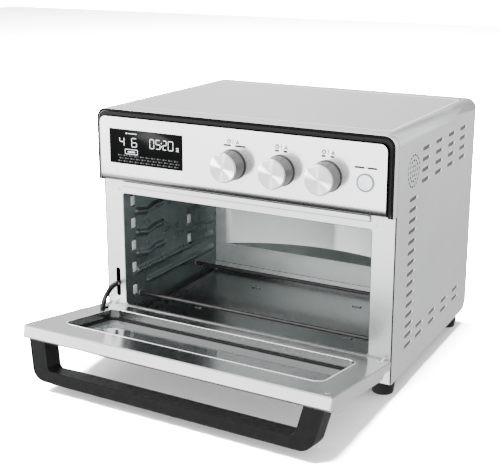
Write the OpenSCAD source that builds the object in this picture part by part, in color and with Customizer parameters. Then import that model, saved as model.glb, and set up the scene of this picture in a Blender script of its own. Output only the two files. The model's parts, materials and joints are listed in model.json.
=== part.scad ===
// Countertop toaster oven with an open drop-down glass door.
// Origin: centre of the four feet on the table. +X right, +Y towards the back, +Z up. Millimetres.

/* [Case] */
// Width of the sheet-steel case
case_w = 480; // [470:1:490]
// Depth of the case, front plate to back panel
case_d = 345; // [340:1:355]
// Height of the case above the feet
case_h = 352; // [350:1:358]
// Thickness of the sheet steel
sheet = 1.2; // [1:0.1:1.4]
// Radius of the two long top edges
case_r = 16; // [14:1:17]
// Height of the feet
foot_h = 26; // [24:1:28]

/* [Side vents] */
// Length of one vent slot
vent_len = 32; // [26:1:36]
// Width of one vent slot
vent_w = 6; // [4:0.5:7]
// Distance between vent rows
vent_pitch_z = 15.3; // [14.5:0.1:15.5]
// Distance between vent columns
vent_pitch_y = 57; // [54:1:58]
// Number of slots in the tall front column
front_vents = 15; // [10:1:15]

/* [Control panel] */
// Height of the control panel
panel_h = 100.5; // [98:0.5:102]
// How far the panel face stands in front of the case
panel_proud = 18; // [17:0.5:19]
// Radius of the rolled lower edge of the panel
roll_r = 14; // [12:1:14]
// Radius of a knob
knob_r = 21; // [18:0.5:22]
// Length of a knob
knob_len = 27; // [22:1:30]
// Radius of the start button
button_r = 10.4; // [9:0.1:10.4]

/* [Cavity] */
// Width of the cavity opening
mouth_w = 410; // [404:1:410]
// Height of the cavity opening
mouth_h = 181; // [176:1:181]
// Distance from the front plate to the back wall of the cavity
cavity_depth = 278.5; // [270:0.5:280]
// Depth of the bow in the back wall
bow_depth = 56; // [50:1:57]
// Radius of a heating rod
rod_r = 3; // [2.5:0.5:4.5]

/* [Door] */
// Length of the door from its hinge edge to its top edge
door_len = 202; // [198:1:202]
// Thickness of the door
door_t = 20; // [18:1:20]
// Angle from closed to fully open
door_swing = 81; // [80:1:81]
// Length of the door window recess
window_w = 410; // [390:1:414]
// Height of the door window recess
window_h = 123; // [115:1:125]
// Height of the handle bar above the door skin
handle_reach = 57; // [50:1:57]
// Width of the handle where it meets the door
handle_w = 460; // [440:1:462]

/* [Hidden] */
$fn = 48;

// Colours
steel = [0.72, 0.73, 0.74];
pale_steel = [0.86, 0.87, 0.88];
dark_steel = [0.28, 0.31, 0.32];
black = [0.06, 0.06, 0.065];
board_green = [0.1, 0.32, 0.2];
ceramic_white = [0.85, 0.84, 0.8];

// Case planes
eps = 0.1;
half_w = case_w / 2;
front_y = -case_d / 2;
back_y = case_d / 2;
base_z = foot_h;
top_z = foot_h + case_h;
inner_half = half_w - sheet - eps;
heel_r = 18;
top_inset = 17;

// Cavity planes
mouth_half = mouth_w / 2;
mouth_z = base_z + 38;
mouth_top = mouth_z + mouth_h;
plate_t = 1.5;
wall_x = mouth_half + 1.5;
wall_front = front_y + plate_t + eps;
wall_back = front_y + cavity_depth;
wall_bottom = base_z + 11.5;
ceiling_z = mouth_top + 5;
ledge_z = base_z + 66;
bow_top = ceiling_z - 8;
bow_half = 184;
bow_r = (bow_half * bow_half + bow_depth * bow_depth) / (2 * bow_depth);
bow_y = wall_back + bow_depth - bow_r;
rod_front_y = front_y + 38.5;
rod_rear_y = front_y + 210.5;
rod_low_z = base_z + 45;
rod_high_z = ceiling_z - 14;
rod_half = wall_x + 9;

// Rack guides: height of each level, front and rear stretches
rail_r = 5.5;
rail_depth = 5;
rail_levels = [ceiling_z - 43, ceiling_z - 78, ceiling_z - 112.5];
rail_low_z = base_z + 84;
rail_base_z = base_z + 60;
rail_front = front_y + 36;
rail_dip = front_y + 62;
rail_lead = front_y + 84;
rail_mid = front_y + 109;
rail_rear = front_y + 188;
rail_end = front_y + 263;
dip = 5;
lead_rise = 1;
clip_y = front_y + 26;
clip_levels = [for (h = [201, 164.5, 128, 91.5, 54]) base_z + h];
clip_rear_y = front_y + 189;
clip_rear_levels = [for (h = [130.5, 96]) base_z + h];
clip_half_w = 5.5;
clip_half_h = 8.5;
clip_gap = 0.5;
spit_hole = [front_y + 150, base_z + 129, 5];
small_hole = [front_y + 129.5, base_z + 175, 2.4];
tray_dimples_rear = [94, front_y + 225.5];
tray_dimples_front = [133, front_y + 97.5];

// Crumb tray planes
tray_half = 196;
tray_z = base_z + 13;
tray_rim = 6;
tray_front = front_y + 0.5;
tray_back = wall_back - 3;
tray_slot_z = base_z + 9.5;
tray_slot_h = 11;

// Control panel planes
bezel_w = 4.5;
bezel_d = 13;
panel_y = front_y - panel_proud;
panel_half = half_w - 9.5;
panel_z = top_z - 11 - panel_h;
panel_top = panel_z + panel_h;
panel_r = 10;
panel_t = 1.5;
roll_y = panel_y + roll_r;
knob_z = panel_z + 49.5;
knob_x = [0, 76, 146];
shaft_r = 3;
fit_gap = 0.05;
button_x = 201;
button_z = panel_z + 47;
board_y = panel_y + 9.5;
board_t = 1.6;
display_x0 = -213;
display_x1 = -83.5;
display_z0 = panel_z + 30.5;
display_z1 = panel_z + 83;

// Door: closed-door coordinates have their zero on the hinge line
hinge_y = front_y - 6;
hinge_z = base_z + 32;
door_in = 5;
door_out = door_in - door_t;
door_low = -5;
door_top = door_low + door_len;
door_skin = 1.5;
thin_out = -7;
thin_top = 18;
window_low = 29;
window_r = 15;
glass_t = 4;
glass_y = door_out + door_skin + eps;
handle_low = door_top - 33;
handle_high = door_top - 3;
ear_x = 228;
ear_t = 3.6;
pin_r = 2.5;
arm_x = -219;
arm_t = 4;
arm_r0 = 36;
arm_r1 = 43;

stop_angle = 6;
arm_foot = 3;
bumper_x = 212;
inner_win_half = window_w / 2;
window_high = window_low + window_h;
handle_screw_x = handle_w / 2 - 17;
handle_screw_z = [handle_low + 8, handle_high - 8];
door_screw_x = 229;
door_screw_z = [14, 186];

// Back panel
gland_x = 150;
gland_z = base_z + 34;
gland_r = 9;
spacer_points = [[-190, top_z - 60], [190, top_z - 60]];
back_screw_points = [for (x = [-1, 1], z = [base_z + 44, base_z + 176, top_z - 24]) [x * 228, z]];

// Temperature probe
probe_y = front_y + 90;
probe_z = ceiling_z - 11;

// Fans
fan_y = front_y + 142.5;
fan_pan_r = 92;
fan_pan_z = ceiling_z + 24;
fan_shaft_r = 4;
vent_y = front_y + 59.5;
vent_z = top_z - 60;
cooling_x0 = 208;
cooling_x1 = 230;

// ---- Helpers -----------------------------------------------------------

// Box between two corners
module box(x0, x1, y0, y1, z0, z1) {
  translate([x0, y0, z0]) cube([x1 - x0, y1 - y0, z1 - z0]);
}

// Extrudes an X-Z outline from y0 to y1
module plate_y(y0, y1) {
  translate([0, y1, 0]) rotate([90, 0, 0]) linear_extrude(height = y1 - y0) children();
}

// Extrudes a Y-Z outline from x0 to x1
module plate_x(x0, x1) {
  translate([x0, 0, 0]) rotate([90, 0, 90]) linear_extrude(height = x1 - x0) children();
}

// Cylinder from y0 to y1
module rod_y(x, z, r, y0, y1) {
  translate([x, y1, z]) rotate([90, 0, 0]) cylinder(r = r, h = y1 - y0);
}

// Cylinder from x0 to x1
module rod_x(y, z, r, x0, x1) {
  translate([x0, y, z]) rotate([0, 90, 0]) cylinder(r = r, h = x1 - x0);
}

// Rectangle with four round corners, from its lower left corner
module round_rect(x0, x1, y0, y1, r) {
  translate([x0 + r, y0]) square([x1 - x0 - 2 * r, y1 - y0]);
  translate([x0, y0 + r]) square([x1 - x0, y1 - y0 - 2 * r]);
  for (x = [x0 + r, x1 - r], y = [y0 + r, y1 - r]) translate([x, y]) circle(r);
}

// Rectangle with its two upper corners round
module arch_rect(half, y0, y1, r) {
  translate([-half, y0]) square([2 * half, y1 - r - y0]);
  translate([-half + r, y0]) square([2 * (half - r), y1 - y0]);
  for (x = [-half + r, half - r]) translate([x, y1 - r]) circle(r);
}

// Slot with round ends, along its first axis
module slot(len, w) {
  square([len - w, w], center = true);
  for (x = [-1, 1]) translate([x * (len - w) / 2, 0]) circle(w / 2, $fn = 24);
}

// Slot outline turned upright
module upright_slot(len, w) {
  rotate(90) slot(len, w);
}

// Puts closed-door geometry into its open position
module open_door() {
  translate([0, hinge_y, hinge_z]) rotate([door_swing, 0, 0]) children();
}

// Copies left and right
module both_sides() {
  children();
  mirror([1, 0, 0]) children();
}

function unit(v) = v / norm(v);

// Points of a round corner at b, coming from a and leaving to c
function corner(a, b, c, r, n = 10) =
  let (
    u = unit(a - b),
    v = unit(c - b),
    half = acos(u * v) / 2,
    reach = r / tan(half),
    mid = b + unit(u + v) * r / sin(half),
    from = b + u * reach - mid,
    to = b + v * reach - mid,
    a0 = atan2(from[1], from[0]),
    turn = atan2(from[0] * to[1] - from[1] * to[0], from * to)
  )
  [for (i = [0:n]) mid + r * [cos(a0 + turn * i / n), sin(a0 + turn * i / n)]];

// Outline whose corner i has radius radii[i]; a radius of 0 stays sharp
function rounded(points, radii) =
  let (n = len(points))
  [for (i = [0:n - 1])
    each radii[i] == 0 ? [points[i]]
      : corner(points[(i + n - 1) % n], points[i], points[(i + 1) % n], radii[i])];

// ---- Case --------------------------------------------------------------

// Case cross-section, inset by i and reaching below the base by drop
module case_profile(i, drop) {
  arch_rect(half_w - i, base_z - drop, top_z - i, case_r - i);
}

// Outside of the round heel at the lower back edge
module heel_cut() {
  plate_x(-half_w - 1, half_w + 1) difference() {
    translate([back_y - heel_r, base_z - 1]) square([heel_r + 1, heel_r + 1]);
    translate([back_y - heel_r, base_z + heel_r]) circle(heel_r);
  }
}

// Places a slot in the right side wall
module side_slot(y, z, len = vent_len, w = vent_w, turn = 0) {
  translate([half_w, y, z]) rotate([90, 0, 90]) rotate(turn)
    linear_extrude(height = 6 * sheet, center = true) slot(len, w);
}

// Rosette of short slots in rings, in front of the cooling fan
module rosette() {
  side_slot(vent_y, vent_z, 5, 2.4);
  for (ring = [1:3], i = [0:6 * ring - 1])
    let (a = i * 60 / ring, r = 7.4 * ring)
      side_slot(vent_y + r * cos(a), vent_z + r * sin(a), 5.2, 2.4, a + 90);
}

// All openings of the right side wall
module side_vents() {
  column_y = front_y + 109;
  top_row = top_z - 36;
  front_top = top_z - 99.5;
  front_low = front_top - (front_vents - 1) * vent_pitch_z;
  for (c = [0:3], row = [0:3])
    side_slot(column_y + c * vent_pitch_y, top_row - row * vent_pitch_z);
  for (row = [0:front_vents - 1])
    side_slot(front_y + 62.5, front_top - row * vent_pitch_z);
  for (c = [0:3], row = [0:1])
    side_slot(column_y + c * vent_pitch_y, front_low + row * vent_pitch_z);
  rosette();
}

module outer_case() {
  color(steel) difference() {
    plate_y(front_y, back_y) case_profile(0, 0);
    plate_y(front_y - 1, back_y + 1) case_profile(sheet, 1);
    heel_cut();
    translate([0, 0, top_z - sheet / 3]) linear_extrude(height = 1)
      round_rect(-half_w + top_inset, half_w - top_inset, front_y + top_inset, back_y - top_inset, 14);
    both_sides() side_vents();
  }
}

module base_pan() {
  color(dark_steel) difference() {
    plate_x(-inner_half, inner_half) difference() {
      union() {
        translate([wall_front, base_z]) square([back_y - heel_r - wall_front, 14]);
        intersection() {
          translate([back_y - heel_r, base_z + heel_r]) circle(heel_r - eps);
          translate([back_y - heel_r, base_z]) square([heel_r, heel_r]);
        }
      }
      translate([wall_front, base_z + sheet]) square([back_y - heel_r - wall_front, 20]);
      translate([back_y - heel_r, base_z + heel_r]) circle(heel_r - eps - sheet);
    }
    for (row = [0:5], x = [-1, 1])
      translate([x * 60, front_y + 110 + row * 22, base_z - 1]) linear_extrude(height = 5) slot(80, 5);
  }
  color(dark_steel) both_sides()
    box(inner_half - sheet, inner_half, wall_front, back_y - heel_r - 1, base_z + sheet, base_z + 9);
}

module back_panel() {
  color(dark_steel) difference() {
    plate_y(back_y - sheet - eps, back_y - eps)
      arch_rect(inner_half, base_z + heel_r, top_z - sheet - eps, case_r - sheet - eps);
    for (c = [-2:2], row = [0:7])
      translate([c * 56, back_y, top_z - 40 - row * 12]) rotate([90, 0, 0])
        linear_extrude(height = 6, center = true) slot(40, 4);
    for (c = [-2:2], row = [0:4])
      translate([c * 56, back_y, base_z + 54 + row * 12]) rotate([90, 0, 0])
        linear_extrude(height = 6, center = true) slot(40, 4);
    rod_y(gland_x, gland_z, gland_r, back_y - 4, back_y + 4);
    for (p = spacer_points) rod_y(p[0], p[1], 2.1, back_y - 4, back_y + 4);
    for (p = back_screw_points) rod_y(p[0], p[1], 1.8, back_y - 4, back_y + 4);
  }
}

module cord_gland() {
  color(black) difference() {
    union() {
      rod_y(gland_x, gland_z, gland_r, back_y - 7, back_y - eps);
      rod_y(gland_x, gland_z, gland_r + 3.5, back_y - eps, back_y + 5);
      rod_y(gland_x, gland_z, gland_r + 2.5, back_y - 7, back_y - sheet - eps);
    }
    rod_y(gland_x, gland_z, 4, back_y - 9, back_y + 9);
  }
}

module rear_spacers() {
  color(black) for (p = spacer_points) {
    rod_y(p[0], p[1], 13, back_y - eps, back_y + 6);
    rod_y(p[0], p[1], 10, back_y + 6, back_y + 20);
    rod_y(p[0], p[1], 2.1, back_y - 6, back_y - eps);
  }
}

module back_screws() {
  color(steel) for (p = back_screw_points) {
    rod_y(p[0], p[1], 4, back_y - eps, back_y + 1.8);
    rod_y(p[0], p[1], 1.8, back_y - 8, back_y - eps);
  }
}

module feet() {
  foot_x = 217;
  foot_y = 142;
  color(black) for (x = [-1, 1], y = [-1, 1]) translate([x * foot_x, y * foot_y, 0]) {
    cylinder(r1 = 15, r2 = 18, h = foot_h - 4);
    translate([0, 0, foot_h - 4]) cylinder(r = 20, h = 4);
  }
}

// ---- Front -------------------------------------------------------------

module front_frame() {
  color(pale_steel) difference() {
    plate_y(front_y, front_y + plate_t) difference() {
      translate([-inner_half, base_z + eps]) square([2 * inner_half, panel_z + 18 - base_z]);
      round_rect(-mouth_half, mouth_half, mouth_z, mouth_top, 4);
      round_rect(-tray_half - 2, tray_half + 2, tray_slot_z, tray_slot_z + tray_slot_h, 2);
      translate([arm_x, hinge_z + 41]) upright_slot(47, 7.8);
    }
  }
}

module header_trim() {
  z0 = door_top + hinge_z + 1.5;
  color(pale_steel) plate_y(front_y - 3, front_y)
    round_rect(-mouth_half + 2, mouth_half - 2, z0, panel_z - 2, 3.5);
}

module door_bumpers() {
  color(ceramic_white) both_sides() rod_y(bumper_x, mouth_top + 6, 2, front_y - 0.9, front_y);
}

// Ears that carry the door's hinge pins
module hinge_ears() {
  color(steel) both_sides() difference() {
    union() {
      rod_x(hinge_y, hinge_z, 4.8, ear_x - ear_t / 2, ear_x + ear_t / 2);
      box(ear_x - ear_t / 2, ear_x + ear_t / 2, hinge_y, front_y, hinge_z - 4.8, hinge_z + 4.8);
    }
    rod_x(hinge_y, hinge_z, pin_r + fit_gap, ear_x - ear_t, ear_x + ear_t);
  }
}

module panel_bezel() {
  color([0.8, 0.81, 0.82]) plate_y(front_y - bezel_d, front_y) difference() {
    arch_rect(half_w, panel_z, top_z, case_r);
    arch_rect(half_w - bezel_w, panel_z - 1, top_z - bezel_w, case_r - bezel_w);
  }
}

module panel_carrier() {
  half = half_w - bezel_w - eps;
  top = top_z - bezel_w - eps;
  r = case_r - bezel_w - eps;
  color(black) {
    plate_y(front_y - bezel_d + 1, front_y - plate_t) difference() {
      arch_rect(half, panel_z, top, r);
      arch_rect(panel_half + 0.5, panel_z - 1, panel_top + 0.5, panel_r);
    }
    plate_y(front_y - plate_t, front_y) arch_rect(half, panel_z, top, r);
  }
}

// Side profile of the control panel, inset by i, reaching back to y1
module panel_profile(i, y1) {
  translate([panel_y + i, panel_z + roll_r]) square([y1 - panel_y - i, panel_h - roll_r - i]);
  intersection() {
    translate([roll_y, panel_z + roll_r]) circle(roll_r - i);
    translate([panel_y, panel_z]) square([roll_r, roll_r]);
  }
  translate([roll_y, panel_z + i]) square([y1 - roll_y, roll_r - i]);
}

module control_panel() {
  color([0.95, 0.95, 0.955]) difference() {
    intersection() {
      plate_x(-panel_half, panel_half) panel_profile(0, roll_y + 0.5);
      plate_y(panel_y - 1, front_y) arch_rect(panel_half, panel_z - 1, panel_top, panel_r);
    }
    intersection() {
      plate_x(-panel_half + panel_t, panel_half - panel_t) panel_profile(panel_t, roll_y + 2);
      plate_y(panel_y - 1, front_y)
        arch_rect(panel_half - panel_t, panel_z - 1, panel_top - panel_t, panel_r - panel_t);
    }
    box(display_x0 - eps, display_x1 + eps, panel_y - 2, panel_y + 4, display_z0 - eps, display_z1 + eps);
    for (x = knob_x) rod_y(x, knob_z, 6, panel_y - 2, panel_y + 4);
    rod_y(button_x, button_z, button_r + 1.5, panel_y - 2, panel_y + 4);
  }
}

module display_window() {
  color([0.02, 0.02, 0.025]) plate_y(panel_y - 0.6, panel_y + 2.4)
    round_rect(display_x0, display_x1, display_z0, display_z1, 2);
}

module display_module() {
  color(black) box(display_x0 + 8, display_x1 - 8, panel_y + 2.5, board_y, display_z0 + 4, display_z1 - 4);
}

module control_board() {
  color(board_green) box(-218, 218, board_y, board_y + board_t, panel_z + 20, panel_top - 8);
  color(black) for (x = [-60, -32]) box(x, x + 16, board_y - 4, board_y, panel_z + 44, panel_z + 64);
}

module encoders() {
  color(steel) for (x = knob_x) difference() {
    union() {
      box(x - 7, x + 7, board_y - 6.5, board_y, knob_z - 7, knob_z + 7);
      rod_y(x, knob_z, 4.5, panel_y + 0.2, board_y - 6.5);
    }
    rod_y(x, knob_z, shaft_r + fit_gap, panel_y - 2, board_y - 1);
  }
}

module knob_collars() {
  color(dark_steel) for (x = knob_x) difference() {
    rod_y(x, knob_z, knob_r + 1.3, panel_y - 1.6, panel_y);
    rod_y(x, knob_z, 6, panel_y - 3, panel_y + 1);
  }
}

// One knob: a cup with a spline hub
module knob(x) {
  back = panel_y - 2.4;
  front = back - knob_len;
  color([0.78, 0.79, 0.8]) difference() {
    union() {
      difference() {
        rod_y(x, knob_z, knob_r, front, back);
        rod_y(x, knob_z, knob_r - 2, front + 2.5, back + 1);
      }
      rod_y(x, knob_z, 5.5, front + 2, back - 1);
    }
    rod_y(x, knob_z, shaft_r, front + 8, back + 1);
  }
}

module shaft(x) {
  color(steel) rod_y(x, knob_z, shaft_r, panel_y - 2.4 - knob_len + 8, board_y - 1.5);
}

module knob_left() knob(knob_x[0]);
module knob_middle() knob(knob_x[1]);
module knob_right() knob(knob_x[2]);
module shaft_left() shaft(knob_x[0]);
module shaft_middle() shaft(knob_x[1]);
module shaft_right() shaft(knob_x[2]);

module button_ring() {
  color([0.55, 0.62, 0.64]) difference() {
    union() {
      rod_y(button_x, button_z, button_r + 1.4, panel_y - 1, panel_y + 1.3);
      rod_y(button_x, button_z, button_r + 2.2, panel_y - 1.2, panel_y);
    }
    rod_y(button_x, button_z, button_r + 0.3, panel_y - 3, panel_y + 3);
  }
}

module start_button() {
  color([0.9, 0.93, 0.94]) {
    rod_y(button_x, button_z, button_r, panel_y - 2, panel_y + 1.8);
    rod_y(button_x, button_z, button_r + 1.1, panel_y + 1.8, panel_y + 2.8);
    rod_y(button_x, button_z, 3, panel_y + 2.8, board_y - 5);
  }
}

module button_switch() {
  color(black) box(button_x - 4, button_x + 4, board_y - 3.5, board_y, button_z - 4, button_z + 4);
}

// ---- Cavity ------------------------------------------------------------

// Bar outline with round ends between two points of the Y-Z plane
module bar(y0, z0, y1, z1) {
  run = norm([y1 - y0, z1 - z0]);
  translate([(y0 + y1) / 2, (z0 + z1) / 2]) rotate(atan2(z1 - z0, y1 - y0))
    slot(run + 2 * rail_r, 2 * rail_r);
}

// Pressed rack guides, in outline
module guide_ribs() {
  for (z = rail_levels) {
    bar(rail_front, z + lead_rise, rail_dip, z - dip);
    bar(rail_dip, z - dip, rail_lead, z);
    bar(rail_lead, z, rail_mid, z);
    bar(rail_rear, z, rail_end, z);
  }
  bar(rail_front, rail_low_z, rail_end, rail_low_z);
  bar(rail_dip, rail_base_z, rail_end, rail_base_z);
}

// Right wall; the left one is its mirror image
module side_wall() {
  color(dark_steel) difference() {
    union() {
      box(wall_x, wall_x + sheet, wall_front, wall_back, wall_bottom, ceiling_z);
      plate_x(wall_x - rail_depth, wall_x) guide_ribs();
    }
    for (z = clip_levels) clip_hole(clip_y, z);
    for (z = clip_rear_levels) clip_hole(clip_rear_y, z);
    for (h = [spit_hole, small_hole]) rod_x(h[0], h[1], h[2], wall_x - 3, wall_x + 3);
    for (y = [rod_front_y, rod_rear_y], z = [rod_low_z, rod_high_z])
      rod_x(y, z, rod_r + 1.2, wall_x - 3, wall_x + 3);
  }
}

// Window for a clip
module clip_hole(y, z) {
  dy = clip_half_w + clip_gap;
  dz = clip_half_h + clip_gap;
  box(wall_x - 3, wall_x + 3, y - dy, y + dy, z - dz, z + dz);
}

module cavity_left_wall() {
  mirror([1, 0, 0]) side_wall();
}

module cavity_right_wall() {
  difference() {
    side_wall();
    rod_x(probe_y, probe_z, 3, wall_x - 3, wall_x + 3);
  }
}

// Tongue of a clip, seen through its window
module clip_tongue(out, y, z) {
  box(out, -wall_x - eps, y - clip_half_w, y + clip_half_w, z - clip_half_h, z + clip_half_h);
}

// Bright steel tongues that hold each side wall
module wall_clips() {
  out = -wall_x - sheet;
  color(pale_steel) both_sides() {
    for (z = clip_levels) {
      clip_tongue(out, clip_y, z);
      box(out - sheet, out, wall_front, clip_y + clip_half_w, z - 6, z + 6);
    }
    for (z = clip_rear_levels) {
      clip_tongue(out, clip_rear_y, z);
      box(out - sheet, out, clip_rear_y - 10, clip_rear_y + 10, z - 10, z + 10);
    }
  }
}

module cavity_ceiling() {
  color(dark_steel) difference() {
    box(-wall_x, wall_x, wall_front, wall_back, ceiling_z, ceiling_z + sheet);
    translate([0, fan_y, ceiling_z - 1]) cylinder(r = fan_pan_r - 2, h = 4);
  }
}

// Plan of the bow behind the back wall, out to radius r
module bow_plan(r) {
  intersection() {
    translate([0, bow_y]) circle(r, $fn = 180);
    translate([-bow_half - 8, wall_back]) square([2 * bow_half + 16, bow_depth + 10]);
  }
}

module cavity_back_wall() {
  color([0.7, 0.73, 0.72]) difference() {
    union() {
      box(-wall_x, wall_x, wall_back, wall_back + sheet, wall_bottom, ceiling_z);
      box(-wall_x, wall_x, wall_back - 3, wall_back, wall_bottom + 9, base_z + 30);
      translate([0, 0, ledge_z - sheet]) linear_extrude(height = bow_top - ledge_z + 2 * sheet)
        bow_plan(bow_r + sheet);
    }
    translate([0, -0.5, ledge_z]) linear_extrude(height = bow_top - ledge_z) intersection() {
      translate([0, bow_y + 0.5]) circle(bow_r, $fn = 180);
      translate([-bow_half, wall_back]) square([2 * bow_half, bow_depth + 10]);
    }
  }
}

// Runners that the crumb tray slides on
module tray_rails() {
  color(dark_steel) both_sides() {
    box(tray_half - 8, wall_x - eps, wall_front, wall_back - 4, tray_z - 2.4, tray_z - 1.2);
    box(wall_x - eps - sheet, wall_x - eps, wall_front, wall_back - 4, tray_z - 1.2, tray_z + 6);
  }
}

module crumb_tray() {
  inner = tray_half - sheet;
  color(steel) {
    difference() {
      box(-tray_half, tray_half, tray_front, tray_back, tray_z - 1, tray_z + tray_rim);
      box(-inner, inner, tray_front + sheet, tray_back - sheet, tray_z, tray_z + tray_rim + 1);
    }
    for (p = [tray_dimples_rear, tray_dimples_front], x = [-1, 1]) dimple(x * p[0], p[1]);
    difference() {
      box(-tray_half + 2, tray_half - 2, front_y - 4.5, tray_front, tray_z - 2, tray_z + 5);
      box(-tray_half, tray_half, front_y - 3.3, tray_front - 1, tray_z - 3, tray_z + 3.8);
    }
  }
}

// Raised oval stop pressed into the tray
module dimple(x, y) {
  translate([x, y, tray_z]) linear_extrude(height = 1.6) slot(16, 7);
}

// One straight heating rod
module heating_rod(y, z) {
  color([0.2, 0.19, 0.18]) rod_x(y, z, rod_r, -rod_half, rod_half);
}

module heater_lower_front() heating_rod(rod_front_y, rod_low_z);
module heater_lower_rear() heating_rod(rod_rear_y, rod_low_z);
module heater_upper_front() heating_rod(rod_front_y, rod_high_z);
module heater_upper_rear() heating_rod(rod_rear_y, rod_high_z);

module heater_insulators() {
  color(ceramic_white) both_sides()
    for (y = [rod_front_y, rod_rear_y], z = [rod_low_z, rod_high_z]) difference() {
      union() {
        rod_x(y, z, rod_r + 1.2, wall_x - 2, wall_x + sheet);
        rod_x(y, z, rod_r + 2.6, wall_x + sheet, wall_x + 5);
      }
      rod_x(y, z, rod_r, wall_x - 4, wall_x + 10);
    }
}

module temperature_probe() {
  color(steel) {
    rod_x(probe_y, probe_z, 3, wall_x - 34, wall_x + 12);
    rod_x(probe_y, probe_z, 6, wall_x + sheet, wall_x + 4);
  }
}

// Pan above the ceiling that holds the convection fan
module fan_housing() {
  color(dark_steel) translate([0, fan_y, ceiling_z + sheet]) difference() {
    union() {
      cylinder(r = fan_pan_r, h = fan_pan_z - ceiling_z - sheet);
      cylinder(r = fan_pan_r + 8, h = sheet);
    }
    translate([0, 0, -1]) cylinder(r = fan_pan_r - sheet, h = fan_pan_z - ceiling_z - 2 * sheet + 1);
    cylinder(r = fan_shaft_r + 3, h = 60);
  }
}

// Perforated guard under the fan
module fan_guard() {
  color(steel) translate([0, fan_y, ceiling_z - sheet]) difference() {
    cylinder(r = fan_pan_r + 4, h = sheet);
    for (ring = [1:5], i = [0:6 * ring - 1])
      rotate(i * 60 / ring) translate([15 * ring, 0, -1]) cylinder(r = 4.5, h = 4, $fn = 20);
  }
}

module fan_motor() {
  color(steel) translate([0, fan_y, fan_pan_z]) difference() {
    union() {
      cylinder(r = 30, h = 34);
      cylinder(r = 40, h = 2);
    }
    translate([0, 0, -1]) cylinder(r = fan_shaft_r + fit_gap, h = 30);
  }
}

module convection_fan() {
  blades = 8;
  z0 = ceiling_z + 4;
  color([0.6, 0.61, 0.62]) translate([0, fan_y, z0]) {
    cylinder(r = 60, h = 1.2);
    cylinder(r = 9, h = 8);
    cylinder(r = fan_shaft_r, h = fan_pan_z - z0 + 24);
    for (i = [0:blades - 1]) rotate(i * 360 / blades)
      translate([22, -0.6, 0]) rotate([0, 0, 20]) cube([52, 1.2, 13]);
  }
}

// Frame of the cooling fan behind the rosette
module cooling_fan_housing() {
  color(black) {
    difference() {
      rod_x(vent_y, vent_z, 32, cooling_x0, cooling_x1);
      rod_x(vent_y, vent_z, 29, cooling_x0 - 1, cooling_x1 + 1);
    }
    difference() {
      union() {
        rod_x(vent_y, vent_z, 12, cooling_x0, cooling_x0 + 6);
        for (a = [0:120:240]) translate([cooling_x0, vent_y, vent_z]) rotate([a, 0, 0])
          translate([0, -2, 8]) cube([3, 4, 22]);
      }
      rod_x(vent_y, vent_z, 2 + fit_gap, cooling_x0 - 1, cooling_x0 + 8);
    }
  }
}

module cooling_rotor() {
  blades = 7;
  x0 = cooling_x0 + 7;
  x1 = cooling_x1 - 2;
  color([0.15, 0.15, 0.16]) {
    rod_x(vent_y, vent_z, 10, x0, x1);
    rod_x(vent_y, vent_z, 2, cooling_x0 + 1, x0);
    for (i = [0:blades - 1]) translate([(x0 + x1) / 2, vent_y, vent_z]) rotate([i * 360 / blades, 0, 0])
      rotate([0, 0, 35]) translate([-0.7, -5, 8]) cube([1.4, 10, 19]);
  }
}

module power_board() {
  x0 = -200;
  y0 = front_y + 60;
  z0 = ceiling_z + 18;
  color(board_green) box(x0, x0 + 95, y0, y0 + 130, z0, z0 + 1.6);
  color(black) box(x0 + 10, x0 + 45, y0 + 12, y0 + 50, z0 + 1.6, z0 + 32);
  color(steel) box(x0 + 55, x0 + 88, y0 + 70, y0 + 90, z0 + 1.6, z0 + 22);
  color(steel) for (x = [x0 + 5, x0 + 90], y = [y0 + 5, y0 + 125])
    translate([x, y, ceiling_z + sheet]) cylinder(r = 3, h = z0 - ceiling_z - sheet);
}

// ---- Door, in closed-door coordinates ----------------------------------

// Side profile of the door: thin at the hinge, full thickness above
module door_profile(i) {
  difference() {
    polygon([[door_in, door_low + i], [door_in, door_top - i], [door_out + i + 3, door_top - i],
      [door_out + i, door_top - i - 3], [door_out + i, thin_top + 8], [thin_out + i, thin_top],
      [thin_out + i, door_low + i]]);
    difference() {
      translate([0, door_low - 1]) square([door_in + 1, -door_low + 1]);
      circle(door_in - i);
    }
  }
}

module door_outer_skin() {
  color(pale_steel) open_door() difference() {
    intersection() {
      plate_x(-half_w, half_w) door_profile(0);
      plate_y(door_out - 1, door_in - 2) round_rect(-half_w, half_w, door_low, door_top, 3);
    }
    intersection() {
      plate_x(-half_w + door_skin, half_w - door_skin) door_profile(door_skin);
      box(-half_w, half_w, door_out - 1, door_in + 1, door_low, door_top);
    }
    plate_y(door_out - 1, door_out + 4) outer_window();
    both_sides() hinge_notch();
    for (x = [-1, 1], z = handle_screw_z) rod_y(x * handle_screw_x, z, 2, door_out - 1, door_out + 4);
  }
}

module outer_window() {
  round_rect(-inner_win_half + 12, inner_win_half - 12, window_low + 11, window_high - 11, 8);
}

// Room for the ear and its pin
module hinge_notch() {
  box(ear_x - 2.8, ear_x + 2.8, thin_out + 1, door_in + 1, door_low - 1, 7);
}

module door_inner_panel() {
  color([0.62, 0.63, 0.64]) open_door() difference() {
    union() {
      intersection() {
        plate_y(door_in - 2, door_in) difference() {
          round_rect(-half_w, half_w, door_low, door_top, 3);
          round_rect(-inner_win_half, inner_win_half, window_low, window_high, window_r);
        }
        plate_x(-half_w, half_w) door_profile(0);
      }
      plate_y(glass_y + glass_t + 1, door_in) difference() {
        round_rect(-inner_win_half - 1.5, inner_win_half + 1.5, window_low - 1.5, window_high + 1.5,
          window_r + 1.5);
        round_rect(-inner_win_half, inner_win_half, window_low, window_high, window_r);
      }
    }
    both_sides() hinge_notch();
    for (x = [-1, 1], z = door_screw_z) rod_y(x * door_screw_x, z, 1.6, door_in - 3, door_in + 1);
  }
}

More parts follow.
